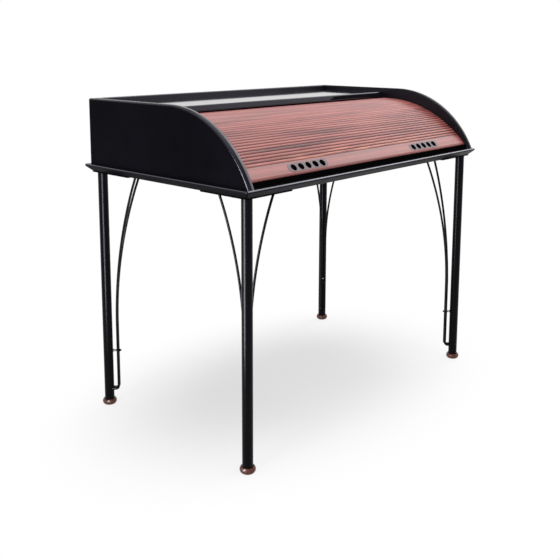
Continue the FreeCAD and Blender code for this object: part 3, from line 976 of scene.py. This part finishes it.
class DESK_OT_handles(bpy.types.Operator):
    """Brush the handle plates and paint the walls of their finger holes black as painted shade"""

    bl_idname = "desk.handles"
    bl_label = "Handle plates"

    # Shares of a plate's half height and half length within which its holes lie
    holes_across = 0.9
    holes_along = 0.89

    def execute(self, context):
        metal = context.scene.desk_finishes.handle_metal
        plates = nodes_named("handle_plate")
        along_plate = (25.0, 1600.0, 1600.0)
        dress(plates, brushed_metal("brushed_grey_metal", metal, roughness=0.42, brushing=along_plate))
        # Painted shade: the walls of the finger holes are painted black
        hole_shade = matt_film("hole_shade_black", *HOLE_SHADE_PAINT)
        for name in plates:
            dress_faces(name, hole_shade, self.hole_walls(name))
        return {"FINISHED"}

    def hole_walls(self, name):
        """A test for the walls of a plate's holes, which stand upright on it and clear of its outline."""
        low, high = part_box(name)
        start, stop, _, _ = track_reach(name)
        middle = (start + stop) / 2
        half_height = (stop - start) / 2
        half_length = (high.x - low.x) / 2

        def wanted(face):
            angle, _ = track_place(face.center)
            outward = Vector((0.0, -math.sin(angle), math.cos(angle)))
            upright = abs(face.normal.dot(outward)) < 0.5
            across = abs(angle - middle) / half_height
            along = abs(face.center.x - (low.x + high.x) / 2) / half_length
            return upright and across < self.holes_across and along < self.holes_along

        return wanted


class DESK_OT_strip(bpy.types.Operator):
    """Make the closing strip under the rail black rubber"""

    bl_idname = "desk.strip"
    bl_label = "Closing strip"

    def execute(self, context):
        # The closing strip is black rubber, and its near-total black also stands in for the shade in the gap
        # under the rail
        dress(["rail_closing_strip"], matt_film("black_rubber", level=0.0012, roughness=0.75))
        return {"FINISHED"}


class DESK_OT_canvas(bpy.types.Operator):
    """Lay the woven cloth behind the slats, a little puckered where it spans from slat to slat"""

    bl_idname = "desk.canvas"
    bl_label = "Canvas"

    def execute(self, context):
        sizes = context.scene.desk_sizes
        start, stop, inner, outer = track_reach("tambour_canvas")
        low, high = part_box("tambour_canvas")
        middle = (inner + outer) / 2
        rows_a_slat = 6
        rows = math.ceil((stop - start) / SLAT_STEP_ANGLE * rows_a_slat)
        mesh = bmesh.new()
        lines = []
        for row in range(rows + 1):
            angle = start + (stop - start) * row / rows
            gap_phase = (RAIL_TOP_ANGLE - angle) / SLAT_STEP_ANGLE
            radius = middle + sizes.cloth_pucker * math.cos(2 * math.pi * gap_phase)
            y = AXIS_Y - radius * math.sin(angle)
            z = AXIS_Z + radius * math.cos(angle)
            lines.append([mesh.verts.new((x, y, z)) for x in (low.x, 0.0, high.x)])
        for upper, lower in zip(lines, lines[1:]):
            for column in range(len(upper) - 1):
                mesh.faces.new((upper[column], lower[column], lower[column + 1], upper[column + 1]))
        cloth = new_piece("canvas_cloth", mesh, "roll_top", "tambour_canvas", "tambour_canvas")
        solid = cloth.modifiers.new("thickness", "SOLIDIFY")
        solid.thickness = sizes.cloth_thickness
        solid.offset = 0.0
        finishes = context.scene.desk_finishes
        cloth.data.materials.append(woven_canvas("woven_canvas", finishes.canvas, sizes.thread_pitch))
        return {"FINISHED"}


class DESK_OT_fastenings(bpy.types.Operator):
    """Turn the plate screws with cross recesses, plate the studs and grey the clips' pins"""

    bl_idname = "desk.fastenings"
    bl_label = "Screws, clips and studs"

    # A pin's radius is less than this share of the height of its clip
    pin_share = 0.4

    # Points of one screw lie within this many metres of each other, seen from above
    screw_room = 0.010

    # Sizes of a screw besides those that the CAD gives, in metres
    head_height = 0.0026
    dome_height = 0.0013
    shank_radius = 0.00225
    recess_depth = 0.0014

    def execute(self, context):
        zinc = context.scene.desk_finishes.zinc
        upright = (700.0, 700.0, 60.0)
        plated = brushed_metal("bright_zinc_plate", zinc, roughness=0.28, brushing=upright)
        dress(["foot_studs"], plated)
        dull = matt_film("dull_zinc_plate", level=0.32, roughness=0.6)
        dress_faces("brace_clips", dull, self.pin_walls())
        screws = self.screws(context.scene.desk_sizes)
        screws.data.materials.append(plated)
        return {"FINISHED"}

    def pin_walls(self):
        """A test for the walls of the clips' pins, which are slimmer than the collars and the caps."""
        low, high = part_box("brace_clips")
        level = (low.z + high.z) / 2
        slim = self.pin_share * (high.z - low.z)
        leg_low, leg_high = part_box("leg_front_right")
        offset = abs(leg_low.x + leg_high.x) / 2 - abs(leg_low.y + leg_high.y) / 2

        def wanted(face):
            place = face.center
            way = Vector((math.copysign(1.0, place.x), math.copysign(1.0, place.y), 0.0)).normalized()
            across = (abs(place.x) - abs(place.y) - offset) / math.sqrt(2)
            beside = abs(face.normal.dot(way)) < LOOKS_ALONG
            return beside and math.hypot(across, place.z - level) < slim

        return wanted

    def places(self):
        """Lowest and highest corners of each screw."""
        groups = []
        for vertex in NODES["plate_screws"].data.vertices:
            near = [g for g in groups if (g[0].xy - vertex.co.xy).length < self.screw_room]
            if near:
                near[0].append(vertex.co.copy())
            else:
                groups.append([vertex.co.copy()])
        for points in groups:
            yield [Vector(map(pick, zip(*points))) for pick in (min, max)]

    def screws(self, sizes):
        """All the screws as one piece, each turned as it happened to be driven home."""
        turns = random.Random(sizes.screw_turn_seed)
        mesh = bmesh.new()
        for low, high in self.places():
            one = self.screw(sizes, high.z - low.z, (high.x - low.x) / 2)
            middle = (low + high) / 2
            turn = Matrix.Rotation(turns.uniform(0, math.pi), 4, "Z")
            one.transform(Matrix.Translation((middle.x, middle.y, low.z)) @ turn)
            mesh.from_mesh(one)
            bpy.data.meshes.remove(one)
        return new_piece("plate_screws_cross_head", mesh, "desk", "bright_steel", "plate_screws")

    def screw(self, sizes, length, head_radius):
        """One pan head screw, head down, with its recess cut by a cross of two bars."""
        dome = self.dome_height
        dome_steps = 6
        profile = [(0.0, 0.0)]
        for step in range(dome_steps + 1):
            turn = math.pi / 2 * step / dome_steps
            profile.append((head_radius - dome + dome * math.sin(turn), dome - dome * math.cos(turn)))
        profile += [(head_radius, self.head_height), (self.shank_radius, self.head_height)]
        profile += [(self.shank_radius, length - self.shank_radius), (0.0, length)]
        body = lathe(profile, sides=40)
        cutter = bmesh.new()
        bar = Matrix.Diagonal((sizes.recess_reach, sizes.recess_slot, 2 * self.recess_depth, 1.0))
        for turn in (0.0, math.pi / 2):
            bmesh.ops.create_cube(cutter, size=1.0, matrix=Matrix.Rotation(turn, 4, "Z") @ bar)
        return cut_out(body, cutter)


# Stage
class DESK_OT_studio(bpy.types.Operator):
    """Set up the floor, the lamps, the white surroundings and the camera"""

    bl_idname = "desk.studio"
    bl_label = "Studio"

    def execute(self, context):
        studio = context.scene.desk_studio
        context.scene.view_settings.view_transform = "Standard"
        self.surroundings(context.scene, studio)
        self.floor(context.scene, studio)
        self.lamps(context.scene, studio)
        self.camera(context.scene, studio)
        return {"FINISHED"}

    def seen_directly(self, tree):
        """1 for rays from the camera, from a mirror or through glass, and 0 for the light that falls."""
        path = tree.nodes.new("ShaderNodeLightPath")
        total = path.outputs["Is Camera Ray"]
        for kind in ("Is Glossy Ray", "Is Transmission Ray"):
            either = tree.nodes.new("ShaderNodeMath")
            either.operation = "MAXIMUM"
            tree.links.new(total, either.inputs[0])
            tree.links.new(path.outputs[kind], either.inputs[1])
            total = either.outputs[0]
        return total

    def surroundings(self, scene, studio):
        """White where it is seen, and a dimmer even light where it falls on the desk."""
        scene.world = bpy.data.worlds.new("white_studio")
        scene.world.use_nodes = True
        tree = scene.world.node_tree
        background = tree.nodes["Background"]
        background.inputs["Color"].default_value = (1.0, 1.0, 1.0, 1.0)
        strength = tree.nodes.new("ShaderNodeMapRange")
        tree.links.new(self.seen_directly(tree), strength.inputs["Value"])
        strength.inputs["To Min"].default_value = studio.ambient
        strength.inputs["To Max"].default_value = 1.0
        tree.links.new(strength.outputs[0], background.inputs["Strength"])

    def floor(self, scene, studio):
        """A round floor that keeps the desk's shadow and turns white away from it."""
        mesh = bmesh.new()
        bmesh.ops.create_circle(mesh, cap_ends=True, segments=96, radius=studio.floor_radius)
        data = bpy.data.meshes.new("studio_floor")
        mesh.to_mesh(data)
        mesh.free()
        floor = bpy.data.objects.new("studio_floor", data)
        floor.location.z = -studio.floor_drop
        scene.collection.objects.link(floor)
        finish = Finish("white_floor", Base_Color=studio.floor_colour, Roughness=0.9, Specular_IOR_Level=0.0)
        tree = finish.tree
        along, across = studio.shadow_reach
        oval = finish.stretched((1 / along, 1 / across, 1.0))
        length = finish.add("ShaderNodeVectorMath", {0: oval}, operation="LENGTH").outputs["Value"]
        fade = {"Value": length, "From Min": studio.shadow_start, "To Min": studio.shadow_lightness}
        far = finish.add("ShaderNodeMapRange", fade, interpolation_type="SMOOTHSTEP").outputs[0]
        white = finish.maths("MULTIPLY", far, self.seen_directly(tree))
        glow = finish.add("ShaderNodeEmission")
        mix = finish.add("ShaderNodeMixShader", {0: white, 1: finish.surface.outputs[0], 2: glow.outputs[0]})
        tree.links.new(mix.outputs[0], tree.nodes["Material Output"].inputs["Surface"])
        data.materials.append(finish.material)

    def lamps(self, scene, studio):
        """Four softboxes. The side one isn't mirrored, and the strip shows only where it is mirrored."""
        overhead = self.softbox("overhead_softbox", studio.overhead_power, size=(2.6, 2.0))
        self.aim(overhead, place=(0.5, -0.3, 3.2), target=(0.0, 0.0, 0.6))
        side = self.softbox("side_softbox", studio.side_power, size=(0.9, 1.8))
        self.aim(side, place=(-3.0, -0.4, 1.5), target=(0.0, -0.2, 0.8))
        side.visible_glossy = False
        strip = self.softbox("strip_softbox", studio.strip_power, size=(0.34, 0.94))
        self.aim(strip, place=(-1.26, -0.19, 0.49), target=(-0.5, -0.3, 0.49))
        strip.visible_diffuse = False
        right = self.softbox("right_softbox", studio.right_power, size=(2.4, 1.4))
        self.aim(right, place=(3.0, -0.5, 2.7), target=(0.0, -0.2, 0.8))
        for lamp in (overhead, side, strip, right):
            scene.collection.objects.link(lamp)

    def softbox(self, name, power, size):
        """A lamp with an even oblong face, which the camera doesn't see."""
        light = bpy.data.lights.new(name, "AREA")
        light.shape = "RECTANGLE"
        light.size, light.size_y = size
        light.energy = power
        lamp = bpy.data.objects.new(name, light)
        lamp.visible_camera = False
        return lamp

    def aim(self, lamp, place, target):
        """Stands a lamp at a place and turns its face to a target."""
        lamp.location = place
        lamp.rotation_euler = (Vector(target) - Vector(place)).to_track_quat("-Z", "Y").to_euler()

    def camera(self, scene, studio):
        """The camera of the photo, which looks down a little with a shifted lens."""
        data = bpy.data.cameras.new("photo_camera")
        data.lens = studio.camera_lens
        data.shift_x, data.shift_y = studio.camera_shift
        camera = bpy.data.objects.new("photo_camera", data)
        camera.location = studio.camera_place
        level = Euler((math.pi / 2 - studio.camera_elevation, 0.0, studio.camera_azimuth)).to_matrix()
        camera.rotation_euler = (level @ Matrix.Rotation(studio.camera_roll, 3, "Z")).to_euler()
        scene.collection.objects.link(camera)
        scene.camera = camera


class DESK_PT_sidebar(bpy.types.Panel):
    """The desk's pieces, in the order in which they are made"""

    bl_label = "Roll top desk"
    bl_idname = "DESK_PT_sidebar"
    bl_space_type = "VIEW_3D"
    bl_region_type = "UI"
    bl_category = "Desk"

    def draw(self, context):
        for settings in (context.scene.desk_finishes, context.scene.desk_sizes, context.scene.desk_studio):
            box = self.layout.box()
            for name in settings.__annotations__:
                box.prop(settings, name)
        for piece in PIECES:
            self.layout.operator(piece.bl_idname)


SETTINGS = {"desk_finishes": DeskFinishes, "desk_sizes": DeskSizes, "desk_studio": DeskStudio}
PIECES = (
    DESK_OT_case,
    DESK_OT_frame,
    DESK_OT_feet,
    DESK_OT_tambour,
    DESK_OT_handles,
    DESK_OT_strip,
    DESK_OT_canvas,
    DESK_OT_fastenings,
    DESK_OT_studio,
)


def register():
    for name, group in SETTINGS.items():
        bpy.utils.register_class(group)
        setattr(bpy.types.Scene, name, PointerProperty(type=group))
    for piece in (*PIECES, DESK_PT_sidebar):
        bpy.utils.register_class(piece)


def unregister():
    for piece in (DESK_PT_sidebar, *reversed(PIECES)):
        bpy.utils.unregister_class(piece)
    for name, group in SETTINGS.items():
        delattr(bpy.types.Scene, name)
        bpy.utils.unregister_class(group)


def main():
    register()
    for piece in PIECES:
        group, action = piece.bl_idname.split(".")
        getattr(getattr(bpy.ops, group), action)()


if __name__ == "__main__":
    main()
